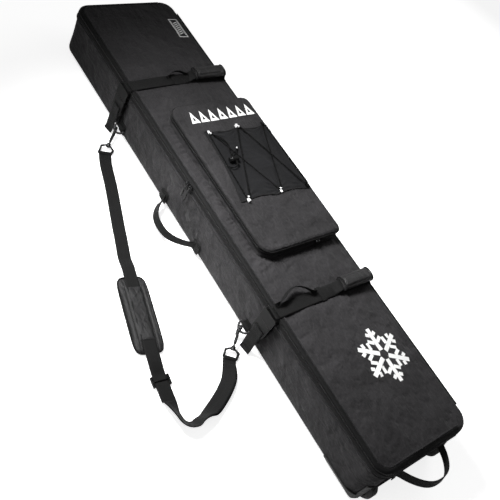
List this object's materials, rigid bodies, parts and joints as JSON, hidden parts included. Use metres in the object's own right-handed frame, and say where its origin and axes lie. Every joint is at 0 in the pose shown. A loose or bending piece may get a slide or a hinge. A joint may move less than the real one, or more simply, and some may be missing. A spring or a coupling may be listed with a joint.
{
  "type": "wheeled snowboard bag",
  "caption": "Long padded wheeled board bag with a hinged zip lid, front pocket with bungee lacing, compression straps, end wheels and a detachable shoulder strap.",
  "frame": {"origin": "centre of the underside of the middle skid rail, on the ground, with the bag lying on its back", "axes": "+X along the bag towards the wheel end, +Z out of the front panel (up as the bag lies), -Y towards the side with the shoulder strap"},
  "size_m": [1.7629, 0.6727, 0.2236],
  "materials": {
    "shell_fabric": "heather charcoal 600D polyester, matt",
    "panel_fabric": "heather charcoal 600D polyester, matt",
    "foam": "closed-cell foam padding",
    "lining": "smooth grey lining",
    "board": "polyethylene sheet",
    "moulded": "textured moulded plastic",
    "steel": "plated steel",
    "gunmetal": "dark plated die-cast zinc",
    "webbing": "ribbed polyester webbing",
    "zip_tape": "woven zip tape and nylon coil",
    "zip_metal": "black coated zip slider",
    "pull_cord": "braided cord pull",
    "clip_plastic": "acetal clip",
    "grip_pad": "padded fabric grip",
    "print_white": "white screen print",
    "mesh": "stretch mesh",
    "cord": "elastic cord",
    "loop_white": "white woven loop",
    "tyre": "moulded rubber",
    "hub": "glass-filled nylon hub",
    "bearing": "bearing steel"
  },
  "bodies": {
    "tub": {"outer_shell": "shell_fabric", "tub_foam": "foam", "tub_lining": "lining", "base_board": "board", "skid_rails": "moulded", "wheel_tray": "moulded", "axles": "steel", "tray_screws": "steel", "tub_zip_tape": "zip_tape", "hinge_strip": "shell_fabric", "sewn_tabs": "webbing", "tub_straps": "webbing", "inner_tie_straps": "webbing", "inner_tie_buckles": "clip_plastic"},
    "lid": {"lid_fabric": "panel_fabric", "lid_foam": "foam", "lid_zip_tape": "zip_tape", "lid_straps": "webbing", "hand_grips": "grip_pad", "buckle_sockets": "clip_plastic", "front_prints": "print_white", "pocket_gusset": "panel_fabric", "pocket_zip_tape": "zip_tape"},
    "pocket_flap": {"pocket_face": "panel_fabric", "pocket_mesh": "mesh", "bungee_cord": "cord", "bungee_loops": "loop_white", "pocket_print": "print_white", "cord_lock_barrel": "clip_plastic", "cord_lock_spring": "steel"},
    "cord_button": {"cord_lock_button": "clip_plastic"},
    "pocket_zip": {"pocket_slider": "zip_metal"},
    "pocket_zip_pull": {"pocket_pull": "pull_cord"},
    "main_zip_a": {"zip_slider_a": "zip_metal"},
    "main_zip_a_pull": {"zip_pull_a": "pull_cord"},
    "main_zip_b": {"zip_slider_b": "zip_metal"},
    "main_zip_b_pull": {"zip_pull_b": "pull_cord"},
    "clip_upper": {"buckle_clip_upper": "clip_plastic", "strap_tail_upper": "webbing"},
    "clip_lower": {"buckle_clip_lower": "clip_plastic", "strap_tail_lower": "webbing"},
    "shoulder_strap": {"shoulder_webbing": "webbing", "swivel_eyes": "gunmetal"},
    "strap_pad": {"shoulder_pad": "grip_pad"},
    "adjuster": {"strap_adjuster": "clip_plastic"},
    "hook_upper_body": {"hook_upper": "gunmetal"},
    "hook_lower_body": {"hook_lower": "gunmetal"},
    "gate_upper_body": {"gate_upper": "gunmetal"},
    "gate_lower_body": {"gate_lower": "gunmetal"},
    "d_ring_upper_body": {"d_ring_upper": "gunmetal"},
    "d_ring_lower_body": {"d_ring_lower": "gunmetal"},
    "side_handle_loop": {"side_handle": "webbing"},
    "end_handle_loop": {"end_handle": "webbing"},
    "tow_handle_loop": {"tow_handle": "webbing"},
    "wheel_left": {"tyre_left": "tyre", "hub_left": "hub", "bearings_left": "bearing"},
    "wheel_right": {"tyre_right": "tyre", "hub_right": "hub", "bearings_right": "bearing"}
  },
  "joints": [
    {"name": "lid_hinge", "type": "hinge", "parent": "tub", "child": "lid", "pos_m": [0, 0.178, 0.16], "axis": [-1, 0, 0], "range_deg": [0, 115]},
    {"name": "pocket_flap_hinge", "type": "hinge", "parent": "lid", "child": "pocket_flap", "pos_m": [-0.07, 0.1695, 0.1963], "axis": [-1, 0, 0], "range_deg": [0, 70]},
    {"name": "cord_lock_press", "type": "slide", "parent": "pocket_flap", "child": "cord_button", "axis": [0, 1, 0], "range_m": [0, 0.003]},
    {"name": "pocket_zip_slide", "type": "slide", "parent": "lid", "child": "pocket_zip", "axis": [0, 1, 0], "range_m": [-0.14, 0.045]},
    {"name": "pocket_pull_hinge", "type": "hinge", "parent": "pocket_zip", "child": "pocket_zip_pull", "pos_m": [0.203, 0.071, 0.1926], "axis": [0, -1, 0], "range_deg": [0, 150]},
    {"name": "main_zip_a_slide", "type": "slide", "parent": "tub", "child": "main_zip_a", "axis": [-1, 0, 0], "range_m": [0, 0.31]},
    {"name": "main_zip_a_pull_hinge", "type": "hinge", "parent": "main_zip_a", "child": "main_zip_a_pull", "pos_m": [-0.098, -0.1832, 0.1585], "axis": [-1, 0, 0], "range_deg": [0, 150]},
    {"name": "main_zip_b_slide", "type": "slide", "parent": "tub", "child": "main_zip_b", "axis": [1, 0, 0], "range_m": [0, 0.38]},
    {"name": "main_zip_b_pull_hinge", "type": "hinge", "parent": "main_zip_b", "child": "main_zip_b_pull", "pos_m": [-0.082, -0.1832, 0.1585], "axis": [-1, 0, 0], "range_deg": [0, 150]},
    {"name": "clip_upper_release", "type": "slide", "parent": "tub", "child": "clip_upper", "axis": [0, 0, -1], "range_m": [0, 0.019]},
    {"name": "clip_lower_release", "type": "slide", "parent": "tub", "child": "clip_lower", "axis": [0, 0, -1], "range_m": [0, 0.019]},
    {"name": "strap_lift", "type": "hinge", "parent": "tub", "child": "shoulder_strap", "pos_m": [-0.058, -0.184, 0.042], "axis": [-1, 0, 0], "range_deg": [0, 90]},
    {"name": "d_ring_upper_hinge", "type": "hinge", "parent": "tub", "child": "d_ring_upper_body", "pos_m": [-0.421, -0.184, 0.042], "axis": [-1, 0, 0], "range_deg": [0, 90]},
    {"name": "d_ring_lower_hinge", "type": "hinge", "parent": "tub", "child": "d_ring_lower_body", "pos_m": [0.304, -0.184, 0.042], "axis": [-1, 0, 0], "range_deg": [0, 90]},
    {"name": "hook_upper_swivel", "type": "hinge", "parent": "shoulder_strap", "child": "hook_upper_body", "pos_m": [-0.38768, -0.23325, 0.01493], "axis": [0.6664, -0.6664, -0.3344], "range_deg": [-15, 15]},
    {"name": "hook_lower_swivel", "type": "hinge", "parent": "shoulder_strap", "child": "hook_lower_body", "pos_m": [0.33732, -0.23325, 0.01493], "axis": [0.6664, -0.6664, -0.3344], "range_deg": [-15, 15]},
    {"name": "gate_upper_hinge", "type": "hinge", "parent": "hook_upper_body", "child": "gate_upper_body", "pos_m": [-0.40387, -0.21707, 0.02666], "axis": [-0.7071, -0.7071, 0], "range_deg": [0, 12]},
    {"name": "gate_lower_hinge", "type": "hinge", "parent": "hook_lower_body", "child": "gate_lower_body", "pos_m": [0.32113, -0.21707, 0.02666], "axis": [-0.7071, -0.7071, 0], "range_deg": [0, 12]},
    {"name": "shoulder_pad_slide", "type": "slide", "parent": "shoulder_strap", "child": "strap_pad", "axis": [0.9693, -0.2458, 0], "range_m": [-0.02, 0.02]},
    {"name": "adjuster_slide", "type": "slide", "parent": "shoulder_strap", "child": "adjuster", "axis": [0.9909, -0.1345, 0], "range_m": [-0.02, 0.05]},
    {"name": "side_handle_hinge", "type": "hinge", "parent": "tub", "child": "side_handle_loop", "pos_m": [-0.064, -0.1895, 0.033], "axis": [-1, 0, 0], "range_deg": [-20, 70]},
    {"name": "end_handle_hinge", "type": "hinge", "parent": "tub", "child": "end_handle_loop", "pos_m": [0.836, 0, 0.118], "axis": [0, -1, 0], "range_deg": [-55, 65]},
    {"name": "tow_handle_hinge", "type": "hinge", "parent": "tub", "child": "tow_handle_loop", "pos_m": [-0.835, 0, 0.1], "axis": [0, 1, 0], "range_deg": [-60, 60]},
    {"name": "wheel_left_spin", "type": "hinge", "parent": "tub", "child": "wheel_left", "pos_m": [0.797, -0.13, 0.04], "axis": [0, 1, 0], "continuous": true},
    {"name": "wheel_right_spin", "type": "hinge", "parent": "tub", "child": "wheel_right", "pos_m": [0.797, 0.13, 0.04], "axis": [0, 1, 0], "continuous": true}
  ],
  "couplings": [
    {"joint": "d_ring_upper_hinge", "follows": "strap_lift", "ratio": 1},
    {"joint": "d_ring_lower_hinge", "follows": "strap_lift", "ratio": 1}
  ]
}
